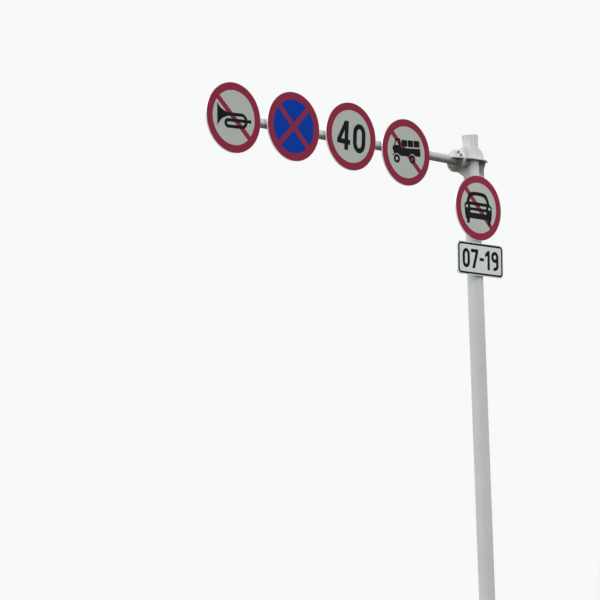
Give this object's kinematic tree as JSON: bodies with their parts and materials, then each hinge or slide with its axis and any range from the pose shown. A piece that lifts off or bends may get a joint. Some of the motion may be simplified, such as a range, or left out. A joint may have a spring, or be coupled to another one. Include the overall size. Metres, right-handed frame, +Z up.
{
  "type": "cantilever sign gantry",
  "caption": "Round steel mast with a flanged, raised arm that holds round traffic signs over a road, and a round sign and a plate clamped to the mast.",
  "frame": {"origin": "centre of the base plate's underside, on the mast's axis, at ground level", "axes": "+Z up, the arm runs along -X and rises towards its tip, the signs face -Y"},
  "size_m": [4.7068, 0.52, 6.0643],
  "materials": {
    "white_paint": "semi-gloss, weathered",
    "sign_sheet": "dull sheet",
    "clamp_zinc": "dull zinc",
    "bolt_zinc": "dull zinc, light rust",
    "film_white": "reflective film",
    "film_red": "reflective film",
    "film_blue": "reflective film",
    "film_black": "matt film"
  },
  "bodies": {
    "root": {"base_plate": "white_paint", "base_ribs": "white_paint", "mast": "white_paint", "mast_cap": "white_paint", "bracket_plate": "white_paint", "bracket_upper_webs": "white_paint", "bracket_lower_webs": "white_paint", "bracket_stub": "white_paint", "mast_flange": "white_paint", "arm_flange": "white_paint", "arm_gussets": "white_paint", "arm_tube": "white_paint", "arm_end_cap": "white_paint", "sign_1_panel": "sign_sheet", "sign_1_rails": "clamp_zinc", "sign_1_saddles": "clamp_zinc", "sign_1_straps": "clamp_zinc", "sign_2_panel": "sign_sheet", "sign_2_rails": "clamp_zinc", "sign_2_saddles": "clamp_zinc", "sign_2_straps": "clamp_zinc", "sign_3_panel": "sign_sheet", "sign_3_rails": "clamp_zinc", "sign_3_saddles": "clamp_zinc", "sign_3_straps": "clamp_zinc", "sign_4_panel": "sign_sheet", "sign_4_rails": "clamp_zinc", "sign_4_saddles": "clamp_zinc", "sign_4_straps": "clamp_zinc", "mast_sign_panel": "sign_sheet", "mast_sign_rails": "clamp_zinc", "mast_sign_saddles": "clamp_zinc", "mast_sign_straps": "clamp_zinc", "plate_panel": "sign_sheet", "plate_rails": "clamp_zinc", "plate_saddles": "clamp_zinc", "plate_straps": "clamp_zinc"}
  },
  "joints": []
}
